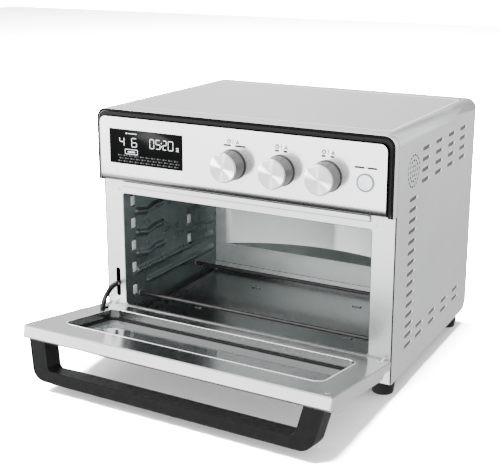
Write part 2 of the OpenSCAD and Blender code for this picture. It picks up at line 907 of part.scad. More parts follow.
module door_glass() {
  color([0.1, 0.11, 0.12, 0.5]) open_door() plate_y(glass_y, glass_y + glass_t)
    round_rect(-inner_win_half - 4, inner_win_half + 4, window_low + 2, window_high + 4, 6);
}

module glass_gasket() {
  color(black) open_door() plate_y(glass_y + glass_t, glass_y + glass_t + 1) difference() {
    round_rect(-inner_win_half - 4, inner_win_half + 4, window_low + 2, window_high + 4, 6);
    round_rect(-inner_win_half + 5, inner_win_half - 5, window_low + 7, window_high - 5, 10);
  }
}

module handle() {
  lean = 13;
  leg = 28;
  bar = 17;
  foot = handle_w / 2;
  y0 = door_out;
  y1 = door_out - handle_reach;
  y2 = y1 + bar;
  inner_lean = lean * (handle_reach - bar) / handle_reach;
  outline = rounded(
    [[-foot, y0], [-foot + lean, y1], [foot - lean, y1], [foot, y0], [foot - leg, y0],
     [foot - leg - inner_lean, y2], [-foot + leg + inner_lean, y2], [-foot + leg, y0]],
    [0, 22, 22, 0, 0, 8, 8, 0]);
  color(black) open_door() difference() {
    translate([0, 0, handle_low]) linear_extrude(height = handle_high - handle_low) polygon(outline);
    for (x = [-1, 1], z = handle_screw_z) rod_y(x * handle_screw_x, z, 2, door_out - 14, door_out + 1);
  }
}

module handle_screws() {
  inside = door_out + door_skin;
  color(steel) open_door() for (x = [-1, 1], z = handle_screw_z) {
    rod_y(x * handle_screw_x, z, 2, door_out - 13, inside);
    rod_y(x * handle_screw_x, z, 4, inside, inside + 2);
  }
}

module door_screws() {
  color(steel) open_door() for (x = [-1, 1], z = door_screw_z) {
    rod_y(x * door_screw_x, z, 1.6, door_in - 10, door_in);
    rod_y(x * door_screw_x, z, 3.6, door_in, door_in + 0.6);
  }
}

// Blocks inside the door that hold the pins
module hinge_blocks() {
  color(dark_steel) open_door() both_sides() for (x = [ear_x - 12, ear_x + 3.2]) difference() {
    plate_x(x, min(x + 8.5, half_w - door_skin - eps)) intersection() {
      door_profile(door_skin + eps);
      translate([thin_out, door_low]) square([door_in - 2 - eps - thin_out, 17]);
    }
    rod_x(0, 0, pin_r, x - 1, x + 10);
  }
}

module hinge_pins() {
  color(steel) open_door() both_sides() rod_x(0, 0, pin_r, ear_x - 12, half_w - door_skin - eps);
}

// Curved stay that runs through the slot in the left stile
module hinge_arm() {
  color(black) open_door() intersection() {
    translate([arm_x - arm_t / 2, 0, 0]) rotate([90, 0, 90]) rotate(-12)
      rotate_extrude(angle = 97, $fn = 120) translate([arm_r0, 0]) square([arm_r1 - arm_r0, arm_t]);
    box(arm_x - arm_t, arm_x + arm_t, door_in, arm_r1 * 2, -arm_r1, arm_r1 * 2);
  }
  color(black) open_door()
    box(arm_x - arm_foot, arm_x + arm_foot, door_in, door_in + 2, arm_r0 - 8, arm_r0 + 1);
}

module arm_rivet() {
  color(steel) open_door() rotate([stop_angle, 0, 0])
    both_faces() rod_x((arm_r0 + arm_r1) / 2, 0, 2, arm_x + arm_t / 2, arm_x + arm_t / 2 + 1.2);
}

// Repeats a piece on the other face of the arm
module both_faces() {
  children();
  translate([2 * arm_x, 0, 0]) mirror([1, 0, 0]) children();
}

outer_case();
base_pan();
back_panel();
feet();
front_frame();
header_trim();
door_bumpers();
hinge_ears();
panel_bezel();
panel_carrier();
control_panel();
display_window();
display_module();
control_board();
encoders();
knob_collars();
button_ring();
button_switch();
cavity_left_wall();
cavity_right_wall();
cavity_ceiling();
cavity_back_wall();
tray_rails();
wall_clips();
heater_lower_front();
heater_lower_rear();
heater_upper_front();
heater_upper_rear();
heater_insulators();
fan_housing();
fan_guard();
fan_motor();
cooling_fan_housing();
power_board();
temperature_probe();
cord_gland();
rear_spacers();
back_screws();
door_outer_skin();
door_inner_panel();
door_glass();
glass_gasket();
handle();
handle_screws();
door_screws();
hinge_blocks();
hinge_pins();
hinge_arm();
arm_rivet();
knob_left();
knob_middle();
knob_right();
shaft_left();
shaft_middle();
shaft_right();
start_button();
crumb_tray();
convection_fan();
cooling_rotor();
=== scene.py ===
"""Looks of a countertop toaster oven with its door open: materials, detail, light and camera."""
import json
import math
import bpy
import bmesh
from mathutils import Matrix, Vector


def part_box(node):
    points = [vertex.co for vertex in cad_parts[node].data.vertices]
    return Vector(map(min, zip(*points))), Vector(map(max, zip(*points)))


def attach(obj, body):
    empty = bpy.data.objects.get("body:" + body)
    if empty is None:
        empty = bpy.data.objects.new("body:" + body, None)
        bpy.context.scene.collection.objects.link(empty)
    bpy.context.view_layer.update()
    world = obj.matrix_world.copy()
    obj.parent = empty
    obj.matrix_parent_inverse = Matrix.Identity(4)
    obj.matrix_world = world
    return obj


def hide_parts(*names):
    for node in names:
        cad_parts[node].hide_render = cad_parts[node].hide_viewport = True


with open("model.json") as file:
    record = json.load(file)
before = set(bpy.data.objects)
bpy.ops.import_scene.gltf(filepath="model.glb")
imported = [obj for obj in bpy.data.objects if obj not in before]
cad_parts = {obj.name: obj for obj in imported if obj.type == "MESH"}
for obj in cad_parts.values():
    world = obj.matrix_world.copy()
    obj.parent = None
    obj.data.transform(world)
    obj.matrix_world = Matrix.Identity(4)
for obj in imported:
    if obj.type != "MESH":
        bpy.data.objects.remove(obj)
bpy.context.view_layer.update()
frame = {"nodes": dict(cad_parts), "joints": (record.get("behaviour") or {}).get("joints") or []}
NODE = frame["nodes"]
MM = 0.001


# ---- Materials -----------------------------------------------------------------

class Shader:
    """A principled material whose colour, roughness and bump come from procedural nodes."""

    def __init__(self, name, rough=0.4, metal=0.0, **sockets):
        self.mat = bpy.data.materials.new(name)
        self.mat.use_nodes = True
        self.tree = self.mat.node_tree
        self.bsdf = self.tree.nodes["Principled BSDF"]
        self.bsdf.inputs["Roughness"].default_value = rough
        self.bsdf.inputs["Metallic"].default_value = metal
        for socket, value in sockets.items():
            self.bsdf.inputs[socket.replace("_", " ")].default_value = value

    def add(self, kind, **values):
        n = self.tree.nodes.new("ShaderNode" + kind)
        for key, value in values.items():
            setattr(n, key, value)
        return n

    def link(self, a, b):
        self.tree.links.new(a, b)

    def noise(self, scale, stretch=(1, 1, 1), detail=3.0, rough=0.55):
        """Noise over the object's own coordinates, stretched along chosen axes."""
        coord = self.add("TexCoord")
        place = self.add("Mapping")
        place.inputs["Scale"].default_value = stretch
        tex = self.add("TexNoise")
        tex.inputs["Scale"].default_value = scale
        tex.inputs["Detail"].default_value = detail
        tex.inputs["Roughness"].default_value = rough
        self.link(coord.outputs["Object"], place.inputs["Vector"])
        self.link(place.outputs["Vector"], tex.inputs["Vector"])
        return tex.outputs["Fac"]

    def spread(self, fac, low, high, near=0.3, far=0.7):
        """Maps the middle of a noise to low..high."""
        m = self.add("MapRange")
        m.inputs["From Min"].default_value = near
        m.inputs["From Max"].default_value = far
        m.inputs["To Min"].default_value = low
        m.inputs["To Max"].default_value = high
        self.link(fac, m.inputs["Value"])
        return m.outputs["Result"]

    def colours(self, fac, *stops):
        ramp = self.add("ValToRGB")
        cr = ramp.color_ramp
        while len(cr.elements) < len(stops):
            cr.elements.new(0.5)
        for el, (at, col) in zip(cr.elements, stops):
            el.position = at
            el.color = (*col, 1)
        self.link(fac, ramp.inputs["Fac"])
        return ramp.outputs["Color"]

    def base(self, fac, dark, light, near=0.3, far=0.7):
        self.link(self.colours(fac, (near, dark), (far, light)), self.bsdf.inputs["Base Color"])

    def roughness(self, fac, low, high):
        self.link(self.spread(fac, low, high), self.bsdf.inputs["Roughness"])

    def bump(self, fac, strength, distance):
        b = self.add("Bump")
        b.inputs["Strength"].default_value = strength
        b.inputs["Distance"].default_value = distance
        self.link(fac, b.inputs["Height"])
        self.link(b.outputs["Normal"], self.bsdf.inputs["Normal"])


def maths(tree, operation, *operands):
    m = tree.nodes.new("ShaderNodeMath")
    m.operation = operation
    for socket, v in zip(m.inputs, operands):
        if isinstance(v, (int, float)):
            socket.default_value = v
        else:
            tree.links.new(v, socket)
    return m.outputs[0]


def split_coord(tree, output):
    coord = tree.nodes.new("ShaderNodeTexCoord")
    split = tree.nodes.new("ShaderNodeSeparateXYZ")
    tree.links.new(coord.outputs[output], split.inputs[0])
    return split.outputs


def grey(v, tint=(1, 1, 1)):
    return tuple(v * t for t in tint)


def brushed(name, light, rough, along, aniso, tint, mark, metal=1.0, bump=0.12):
    """Sheet steel with fine lines along one axis and faint clouding."""
    s = Shader(name, rough, metal, Anisotropic=aniso)
    stretch = {"x": (6, 700, 700), "y": (700, 6, 700), "z": (700, 700, 6)}[along]
    lines = s.noise(1.0, stretch, 4.0, 0.7)
    cloud = s.noise(9.0, (1, 1, 1), 4.0)
    blend = s.add("Math", operation="MULTIPLY_ADD")
    blend.inputs[1].default_value = 0.45
    s.link(cloud, blend.inputs[0])
    half = s.add("Math", operation="MULTIPLY")
    half.inputs[1].default_value = 0.55
    s.link(lines, half.inputs[0])
    s.link(half.outputs[0], blend.inputs[2])
    dark, pale = grey(light * (1 - mark), tint), grey(min(light * (1 + mark), 1), tint)
    s.base(blend.outputs[0], dark, pale, 0.35, 0.65)
    s.roughness(blend.outputs[0], rough * 0.92, rough * 1.08)
    s.bump(lines, bump, 0.00012)
    tangent = s.add("Tangent", direction_type="RADIAL", axis=along.upper())
    s.link(tangent.outputs["Tangent"], s.bsdf.inputs["Tangent"])
    return s.mat


def spun(name, light, rough, aniso):
    """Metal turned about the Y axis: rings on the face, lines round the side."""
    s = Shader(name, rough, 1.0, Anisotropic=aniso, Anisotropic_Rotation=0.25)
    place = split_coord(s.tree, "Generated")
    both = s.add("CombineXYZ")
    for k, axis in enumerate("XZ"):
        s.link(maths(s.tree, "SUBTRACT", place[axis], 0.5), both.inputs[k])
    length = s.add("VectorMath", operation="LENGTH")
    s.link(both.outputs[0], length.inputs[0])
    ring = s.add("TexNoise", noise_dimensions="1D")
    ring.inputs["Scale"].default_value = 130
    ring.inputs["Detail"].default_value = 3
    s.link(length.outputs["Value"], ring.inputs["W"])
    s.base(ring.outputs["Fac"], grey(light * 0.93), grey(light))
    s.roughness(ring.outputs["Fac"], rough - 0.03, rough + 0.05)
    s.bump(ring.outputs["Fac"], 0.15, 0.0001)
    tangent = s.add("Tangent", direction_type="RADIAL", axis="Y")
    s.link(tangent.outputs["Tangent"], s.bsdf.inputs["Tangent"])
    return s.mat


def coated(name, dark, light, rough, scale, metal=0.0, grain=900.0, strength=0.1, **sockets):
    """Paint, plastic or enamel: slight mottling, a fine grain and uneven gloss."""
    s = Shader(name, rough, metal, **sockets)
    cloud = s.noise(scale, (1, 1, 1), 4.0)
    fine = s.noise(grain, (1, 1, 1), 2.0)
    s.base(cloud, dark, light)
    s.roughness(cloud, rough - 0.05, rough + 0.06)
    s.bump(fine, strength, 0.00015)
    return s.mat


CASE = brushed("case_brushed", 0.62, 0.20, "y", 0.6, (0.985, 1.0, 1.0), 0.06, 1.0, 0.02)
FRONT = brushed("front_brushed", 0.66, 0.32, "x", 0.4, (0.985, 1.0, 1.0), 0.04)
PANEL = brushed("panel_brushed", 0.96, 0.17, "x", 0.5, (1, 1, 1), 0.03, 0.82)
BEZEL = brushed("bezel_rim", 0.70, 0.18, "x", 0.3, (1, 1, 1), 0.04, 1.0, 0.04)
# Pale chrome for the door's window bead: a painted highlight on the rounded edge of the recess.
DOOR_BEAD_HIGHLIGHT = brushed("bezel_chrome", 0.92, 0.22, "x", 0.3, (1, 1, 1), 0.04, 1.0, 0.04)
DOOR = brushed("door_brushed", 0.62, 0.30, "x", 0.5, (1, 1, 1), 0.05)
DOOR_IN = brushed("door_inner_brushed", 0.33, 0.20, "x", 0.45, (0.99, 1, 1), 0.05)
PLAIN = brushed("plain_steel", 0.62, 0.36, "y", 0.2, (1, 1, 1), 0.08)
HARDWARE = coated("plated_hardware", grey(0.55), grey(0.78), 0.24, 200, 1.0)
KNOB = spun("knob_spun", 0.56, 0.28, 0.97)
DARK = coated("dark_sheet", grey(0.035), grey(0.055), 0.42, 40)
WALL = coated("cavity_coating", (0.125, 0.150, 0.150), (0.155, 0.185, 0.185), 0.30, 30, 0.75, 1400, 0.12)
BACK = coated("cavity_back_coating", (0.66, 0.71, 0.70), (0.72, 0.77, 0.76), 0.36, 18, 0.6, 1400, 0.10)
TRAY = brushed("tray_dark", 0.17, 0.24, "x", 0.35, (0.96, 1.0, 1.0), 0.12)
RUBBER = coated("rubber", grey(0.003), grey(0.006), 0.62, 120, 0.0, 700, 0.3, Specular_IOR_Level=0.15)
SILICONE = coated("pale_silicone", grey(0.62), grey(0.70), 0.6, 120, 0.0, 700, 0.2)
PLASTIC = coated("black_plastic", grey(0.003), grey(0.006), 0.42, 150, 0.0, 1500, 0.25,
                 Specular_IOR_Level=0.15)
HANDLE = coated("handle_satin", grey(0.0035), grey(0.006), 0.42, 90, 0.0, 2200, 0.16, Specular_IOR_Level=0.08)
ARM = coated("arm_black", grey(0.004), grey(0.008), 0.36, 200, 0.0, 1500, 0.2, Specular_IOR_Level=0.3)
SCREEN = coated("display_gloss", grey(0.0006), grey(0.0015), 0.13, 30, 0.0, 500, 0.01,
                Specular_IOR_Level=0.03)
BOARD = coated("circuit_board", (0.015, 0.10, 0.04), (0.02, 0.14, 0.06), 0.40, 300)
SHEATH = coated("heater_sheath", (0.012, 0.012, 0.012), (0.030, 0.029, 0.028), 0.40, 90, 0.2, 1200, 0.2)
CERAMIC = coated("ceramic", (0.22, 0.22, 0.21), (0.30, 0.30, 0.29), 0.5, 120)
CAP = coated("button_cap", (0.84, 0.88, 0.88), (0.93, 0.96, 0.96), 0.22, 200, 0.0, 900, 0.03,
             Subsurface_Weight=0.15)
RING = coated("button_ring", (0.10, 0.17, 0.17), (0.15, 0.23, 0.23), 0.30, 200)
ALLOY = coated("fan_alloy", grey(0.42), grey(0.55), 0.38, 60, 1.0)
INK = coated("printed_grey", grey(0.02), grey(0.035), 0.5, 400, Specular_IOR_Level=0.1)
# Near-white colour of the top bead: a painted highlight on the edge of the recessed top.
TOP_EDGE_HIGHLIGHT = coated("trim_painted_highlight", grey(0.86), grey(0.95), 0.30, 200, 0.35)
SEAM = coated("seam_shadow", grey(0.01), grey(0.02), 0.6, 300, Specular_IOR_Level=0.1)
TONGUE = coated("clip_plating", grey(0.72), grey(0.84), 0.30, 200, 0.2)
GLASS = coated("door_glass", (0.055, 0.062, 0.064), (0.075, 0.082, 0.084), 0.06, 20, 0.0, 300, 0.004,
               Transmission_Weight=0.40, IOR=1.38, Coat_Weight=0.05, Coat_Roughness=0.03)


def recolour(tree, mask, colour):
    """Puts a colour over the base colour where the mask is 1."""
    base = tree.nodes["Principled BSDF"].inputs["Base Color"]
    mix = tree.nodes.new("ShaderNodeMix")
    mix.data_type = "RGBA"
    tree.links.new(mask, mix.inputs[0])
    tree.links.new(base.links[0].from_socket, mix.inputs[6])
    mix.inputs[7].default_value = (*colour, 1)
    tree.links.new(mix.outputs[2], base)


def paint_shade_facing(mat, axes, limit, colour):
    """Paints shade as a colour on the parts of a material that face along any of the signed axes."""
    t = mat.node_tree
    normal = split_coord(t, "Normal")
    total = 0.0
    for sign, axis in axes:
        along = maths(t, "MAXIMUM", maths(t, "MULTIPLY", normal[axis], sign), 0.0)
        total = maths(t, "MULTIPLY_ADD", along, along, total)
    recolour(t, maths(t, "GREATER_THAN", total, limit), colour)


def paint_slot_wall_shade(mat, near_side, far_side, below, colour):
    """Paints shade as a colour on a band just inside both sides of a node, by share of its box: the walls of
    its slots.
    """
    t = mat.node_tree
    place = split_coord(t, "Generated")
    off_centre = maths(t, "ABSOLUTE", maths(t, "SUBTRACT", place["X"], 0.5))
    depth = maths(t, "SUBTRACT", 0.5, off_centre)
    past_near, before_far = maths(t, "GREATER_THAN", depth, near_side), maths(t, "LESS_THAN", depth, far_side)
    band = maths(t, "MULTIPLY", past_near, before_far)
    recolour(t, maths(t, "MULTIPLY", band, maths(t, "LESS_THAN", place["Z"], below)), colour)


# Painted shade: the walls of the slots in the case sides are coloured near black.
paint_slot_wall_shade(CASE, 0.00006, 0.006, 0.9, grey(0.01))
# Painted shade: the panel's downward-facing lower roll is coloured grey, darker where it faces further down.
paint_shade_facing(PANEL, ((-1, "Z"),), 0.03, grey(0.42))
paint_shade_facing(PANEL, ((-1, "Z"),), 0.22, grey(0.16))
# Painted shadow: the panel's sides and top edge are coloured near black for the shadowed gap inside the
# bezel.
paint_shade_facing(PANEL, ((1, "X"), (-1, "X"), (1, "Z")), 0.3, grey(0.004))
# Painted shade: the upward-facing ledges of the cavity's back wall are coloured darker than the rest of the
# same coating.
paint_shade_facing(BACK, ((1, "Z"),), 0.8, (0.10, 0.115, 0.113))
# Painted shadow: the bezel's front face is coloured near black for the shadowed gap round the panel.
paint_shade_facing(BEZEL, ((-1, "Y"),), 0.8, grey(0.006))
# Painted shade: the knobs' sides are coloured much darker than their faces, though the knobs are one metal.
paint_shade_facing(KNOB, ((1, "X"), (-1, "X"), (1, "Z"), (-1, "Z")), 0.5, grey(0.09))


SLOT_DEEP = 0.2383
SLOT_RIM = 0.2399


def steel_shaded_by_depth(name, shaded_grey, proud):
    """Case steel with painted shade: its colour darkens with depth below the side of the case."""
    s = Shader(name, 0.30, 1.0)
    side = maths(s.tree, "ABSOLUTE", split_coord(s.tree, "Object")["X"])
    depth = s.spread(side, 0.0, 1.0, SLOT_DEEP, SLOT_RIM)
    s.link(s.colours(depth, (0.0, grey(shaded_grey)), (0.6, grey((shaded_grey + proud) / 2)), (1.0, grey(proud))),
           s.bsdf.inputs["Base Color"])
    s.roughness(s.noise(400), 0.26, 0.36)
    return s.mat


# Painted shade: the louvre dishes go from pale steel at the rim to near black at their floor.
LOUVRE = steel_shaded_by_depth("louvre_steel_painted_shade", 0.07, 0.72)


def lit(name, colour, power):
    """A display segment that glows evenly, with faint unevenness."""
    s = Shader(name, 0.5, 0.0, Emission_Strength=power)
    s.base(s.noise(300), colour, colour)
    s.link(s.colours(s.noise(500), (0.2, tuple(c * 0.9 for c in colour)), (0.8, colour)),
           s.bsdf.inputs["Emission Color"])
    return s.mat


GLOW = lit("display_segments", (0.60, 0.64, 0.67), 1.0)
DIM = lit("display_icons", (0.035, 0.038, 0.040), 0.10)

NODE_LOOK = {
    "outer_case": CASE, "base_pan": DARK, "back_panel": DARK, "feet": RUBBER, "front_frame": FRONT,
    "header_trim": FRONT, "door_bumpers": SILICONE, "hinge_ears": PLAIN, "panel_bezel": BEZEL,
    "panel_carrier": PLASTIC, "control_panel": PANEL, "display_window": SCREEN, "display_module": PLASTIC,
    "control_board": BOARD, "encoders": HARDWARE, "knob_collars": DARK, "button_ring": RING,
    "button_switch": PLASTIC, "cavity_left_wall": WALL, "cavity_right_wall": WALL, "cavity_ceiling": WALL,
    "cavity_back_wall": BACK, "tray_rails": DARK, "wall_clips": HARDWARE, "heater_lower_front": SHEATH,
    "heater_lower_rear": SHEATH, "heater_upper_front": SHEATH, "heater_upper_rear": SHEATH,
    "heater_insulators": CERAMIC, "fan_housing": DARK, "fan_guard": PLAIN, "fan_motor": PLAIN,
    "cooling_fan_housing": PLASTIC, "power_board": BOARD, "temperature_probe": HARDWARE,
    "cord_gland": PLASTIC, "rear_spacers": PLASTIC, "back_screws": HARDWARE, "door_outer_skin": DOOR,
    "door_inner_panel": DOOR_IN, "door_glass": GLASS, "glass_gasket": RUBBER, "handle": HANDLE,
    "handle_screws": HARDWARE, "door_screws": HARDWARE, "hinge_blocks": PLAIN, "hinge_pins": HARDWARE,
    "hinge_arm": ARM, "arm_rivet": HARDWARE, "knob_left": KNOB, "knob_middle": KNOB, "knob_right": KNOB,
    "shaft_left": HARDWARE, "shaft_middle": HARDWARE, "shaft_right": HARDWARE, "start_button": CAP,
    "crumb_tray": TRAY, "convection_fan": ALLOY, "cooling_rotor": PLASTIC,
}

SOFT_EDGE = {
    "front_frame": 0.5, "header_trim": 0.9, "panel_bezel": 0.9, "outer_case": 0.35, "panel_carrier": 0.6,
    "door_outer_skin": 0.9,
    "handle": 2.2, "hinge_arm": 0.6, "crumb_tray": 0.5, "wall_clips": 0.4, "rear_spacers": 0.8,
    "cord_gland": 0.6, "feet": 1.2, "knob_collars": 0.4, "start_button": 0.5, "button_ring": 0.3,
    "back_screws": 0.4, "door_screws": 0.25, "hinge_ears": 0.6, "base_pan": 0.4, "display_window": 0.2,
    "door_bumpers": 0.35, "cavity_back_wall": 0.5, "heater_insulators": 0.4, "fan_guard": 0.2,
}


def soften(ob, width, angle=32, segments=2):
    """Small round on the sharp edges of a mesh, as a modifier."""
    weld = ob.modifiers.new("weld", "WELD")
    weld.merge_threshold = 1e-6
    flat = ob.modifiers.new("flat", "DECIMATE")
    flat.decimate_type = "DISSOLVE"
    flat.angle_limit = math.radians(0.3)
    bev = ob.modifiers.new("edge", "BEVEL")
    bev.width = width * MM
    bev.segments = segments
    bev.limit_method = "ANGLE"
    bev.angle_limit = math.radians(angle)
    bev.harden_normals = True
    bev.use_clamp_overlap = True


def dress_nodes():
    for name, mat in NODE_LOOK.items():
        ob = NODE[name]
        ob.data.materials.clear()
        ob.data.materials.append(mat)
        if name in SOFT_EDGE:
            soften(ob, SOFT_EDGE[name])


# ---- Mesh tools ----------------------------------------------------------------

def piece(name, verts, faces, mat, body, replaced=(), sharp=35, flat=False):
    """A mesh object, given in millimetres, that rides on a body."""
    me = bpy.data.meshes.new(name)
    me.from_pydata([tuple(Vector(v) * MM) for v in verts], [], faces)
    bm = bmesh.new()
    bm.from_mesh(me)
    bmesh.ops.remove_doubles(bm, verts=bm.verts, dist=2e-6)
    bmesh.ops.recalc_face_normals(bm, faces=bm.faces)
    for f in bm.faces:
        f.smooth = not flat
    for e in bm.edges:
        if len(e.link_faces) == 2 and e.calc_face_angle(0) > math.radians(sharp):
            e.smooth = False
    bm.to_mesh(me)
    bm.free()
    me.materials.append(mat)
    ob = bpy.data.objects.new(name, me)
    bpy.context.scene.collection.objects.link(ob)
    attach(ob, body)
    if replaced:
        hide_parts(*replaced)
    return ob


class Build:
    """Collects verts and faces for one piece."""

    def __init__(self):
        self.v, self.f = [], []

    def add(self, verts, faces):
        n = len(self.v)
        self.v += [Vector(p) for p in verts]
        self.f += [tuple(i + n for i in f) for f in faces]

    def rings(self, rings, closed=True, cap_first=False, cap_last=False):
        """Skins a list of equally long point rings."""
        n = len(rings[0])
        verts = [p for r in rings for p in r]
        faces = []
        for k in range(len(rings) - 1):
            for i in range(n if closed else n - 1):
                j = (i + 1) % n
                faces.append((k * n + i, k * n + j, (k + 1) * n + j, (k + 1) * n + i))
        if cap_first:
            faces.append(tuple(range(n)))
        if cap_last:
            faces.append(tuple((len(rings) - 1) * n + i for i in reversed(range(n))))
        self.add(verts, faces)

    def lathe(self, profile, place, seg):
        """Turns (radius, height) pairs round the axis of place(a, b, h)."""
        self.rings([[place(a, b, h) for a, b in circle(r, seg)] for r, h in profile])

    def slab(self, outline, place, h0, h1):
        """Extrudes a flat outline between two heights."""
        self.rings([[place(a, b, h0) for a, b in outline], [place(a, b, h1) for a, b in outline]],
                   True, True, True)

    def bevel_slab(self, outline, place, h0, h1, e):
        """A slab whose top edge, at h1, is rounded by e."""
        n = len(outline)
        cx = sum(p[0] for p in outline) / n
        cy = sum(p[1] for p in outline) / n

        def shrink(d):
            out = []
            for a, b in outline:
                r = math.hypot(a - cx, b - cy) or 1
                out.append((a - (a - cx) / r * d, b - (b - cy) / r * d))
            return out
        s = 1 if h1 > h0 else -1
        self.rings([[place(a, b, h0) for a, b in outline], [place(a, b, h1 - s * e) for a, b in outline],
                    [place(a, b, h1 - s * e * 0.3) for a, b in shrink(e * 0.3)],
                    [place(a, b, h1) for a, b in shrink(e)]], True, True, True)

    def piece(self, name, mat, body, slot, replaced=(), sharp=35, flat=False):
        return piece(name, self.v, self.f, mat, body, replaced, sharp, flat)


def circle(r, seg):
    turns = [2 * math.pi * i / seg for i in range(seg)]
    return [(r * math.cos(t), r * math.sin(t)) for t in turns]


def stadium(length, width, seg=8):
    """Outline with round ends, long side first."""
    r, h = width / 2, (length - width) / 2
    pts = []
    for cx, a0 in ((h, -90), (-h, 90)):
        for i in range(seg + 1):
            a = math.radians(a0 + 180 * i / seg)
            pts.append((cx + r * math.cos(a), r * math.sin(a)))
    return pts


def round_box(x0, x1, y0, y1, r, seg=5):
    pts = []
    corners = ((x1 - r, y1 - r, 0), (x0 + r, y1 - r, 90), (x0 + r, y0 + r, 180), (x1 - r, y0 + r, 270))
    for cx, cy, a0 in corners:
        for i in range(seg + 1):
            a = math.radians(a0 + 90 * i / seg)
            pts.append((cx + r * math.cos(a), cy + r * math.sin(a)))
    return pts


def facing_front(cx, cz, y):
    """Places (a, b, h): a to the right, b up, h out of the front."""
    return lambda a, b, h: Vector((cx + a, y - h, cz + b))


# ---- Places taken from the CAD -----------------------------------------------------

def mm_box(node):
    lo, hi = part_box(node)
    return lo / MM, hi / MM


CASE_LO, CASE_HI = mm_box("outer_case")
PANEL_LO = mm_box("control_panel")[0]
SCREEN_LO, SCREEN_HI = mm_box("display_window")
WALL_LO, WALL_HI = mm_box("cavity_left_wall")
JOINTS = {j["name"]: j for j in frame["joints"]}
HINGE = Vector(JOINTS["door_hinge"]["pos_m"]) / MM
SWING = math.radians(JOINTS["door_hinge"]["range_deg"][1])


def on_door(x, y, z):
    """Turns a point of the closed door, given from its hinge line, to the open rest pose."""
    c, s = math.cos(SWING), math.sin(SWING)
    return Vector((x, HINGE.y + y * c - z * s, HINGE.z + y * s + z * c))


def bead(build, path, place, radius, seg=6):
    """Half-round moulding along a closed flat path; place(a, b, h) has h outwards."""
    n = len(path)
    rings = []
    for k in range(seg + 1):
        t = math.pi * k / seg
        off, h = radius * math.cos(t), radius * math.sin(t)
        ring = []
        for i, (a, b) in enumerate(path):
            pa, pb = path[i - 1]
            na, nb = path[(i + 1) % n]
            ta, tb = na - pa, nb - pb
            length = math.hypot(ta, tb) or 1
            ring.append(place(a + off * tb / length, b - off * ta / length, h))
        rings.append(ring)
    build.rings(rings)


# ---- Case --------------------------------------------------------------------------

VENT = (32, 6)
VENT_PITCH_Z = 15.3
VENT_PITCH_Y = 57
LOUVRE_PROFILE = [(-0.9, 0.0), (-0.45, 0.2), (0.05, 0.15), (0.25, -0.4), (0.4, -1.2), (0.7, -1.7),
                  (1.0, -1.8)]
VENT_BLOCK_Y = 109
VENT_COLUMN_Y = 62.5
VENT_ROWS = 15
ROSETTE = (59.5, 60)
ROSETTE_SHADE_PROFILE = [(0, 0), (26, 0), (26.6, -0.2), (26.6, -0.9), (0, -0.9)]
SHADE_DISC_DEPTH = 1.5


def vent_places():
    """Centres of the side slots, as (y, z)."""
    front_y, top_z = CASE_LO.y, CASE_HI.z
    columns = [front_y + VENT_BLOCK_Y + c * VENT_PITCH_Y for c in range(4)]
    places = [(y, top_z - 36 - row * VENT_PITCH_Z) for y in columns for row in range(4)]
    top = top_z - 99.5
    places += [(front_y + VENT_COLUMN_Y, top - row * VENT_PITCH_Z) for row in range(VENT_ROWS)]
    places += [(y, top - (VENT_ROWS - 1 - row) * VENT_PITCH_Z) for y in columns for row in range(2)]
    return places


def louvres(name, side):
    """Dished ovals pressed into the slots of one side of the case."""
    b = Build()
    length, width = VENT
    for y, z in vent_places():
        rings = []
        for inset, depth in LOUVRE_PROFILE:
            x = side * (CASE_HI.x + depth)
            rings.append([(x, y + p, z + q) for p, q in stadium(length - 2 * inset, width - 2 * inset)])
        b.rings(rings, True, False, True)
    b.piece(name, LOUVRE, "case", "case_steel")


def rosette_shade_disc(name, side):
    """Near-black disc just inside the rosette of one side: painted shade behind its holes."""
    b = Build()
    y, z = CASE_LO.y + ROSETTE[0], CASE_HI.z - ROSETTE[1]
    x = CASE_HI.x - SHADE_DISC_DEPTH
    b.lathe(ROSETTE_SHADE_PROFILE, lambda p, q, h: Vector((side * (x + h), y + p, z + q)), 48)
    b.piece(name, SEAM, "case", "black_plastic")


def top_bead():
    """Moulding round the recessed top panel, coloured near white as a painted highlight on the edge of the
    recess, with a dark joint outside it.
    """
    inset = 17
    edge = round_box(CASE_LO.x + inset, CASE_HI.x - inset, CASE_LO.y + inset, CASE_HI.y - inset, 14, 8)
    inner = round_box(CASE_LO.x + inset + 3, CASE_HI.x - inset - 3, CASE_LO.y + inset + 3,
                      CASE_HI.y - inset - 3, 12, 8)
    top = CASE_HI.z
    b, groove = Build(), Build()
    bead(b, inner, lambda p, q, h: Vector((p, q, top - 0.45 + 0.2 * h)), 2.0)
    bead(groove, edge, lambda p, q, h: Vector((p, q, top - 0.15 + 0.14 * h)), 0.9)
    b.piece("top_bead", TOP_EDGE_HIGHLIGHT, "case", "bezel_chrome")
    groove.piece("top_joint", SEAM, "case", "black_plastic")


def cross(b, length, width, place):
    for w, h in ((length, width), (width, length)):
        b.slab(round_box(-w / 2, w / 2, -h / 2, h / 2, 0.3, 2), place, -0.3, 0.06)


def screw_marks():
    """Cross recesses in the screw heads of the back and of the door."""
    back, door = Build(), Build()
    y = mm_box("back_screws")[1].y
    base, top = CASE_LO.z, CASE_HI.z
    for x in (-228, 228):
        for z in (base + 44, base + 176, top - 24):
            cross(back, 4.6, 0.9, lambda p, q, d, x=x, z=z: Vector((x + p, y + d, z + q)))
    for x in (-229, 229):
        for z in (14, 186):
            cross(door, 3.8, 0.8, lambda p, q, d, x=x, z=z: on_door(x + p, 5.6 + d, z + q))
    back.piece("back_screw_recess", PLASTIC, "case", "black_plastic")
    door.piece("door_screw_recess", PLASTIC, "door", "black_plastic")


# ---- Control panel -----------------------------------------------------------------

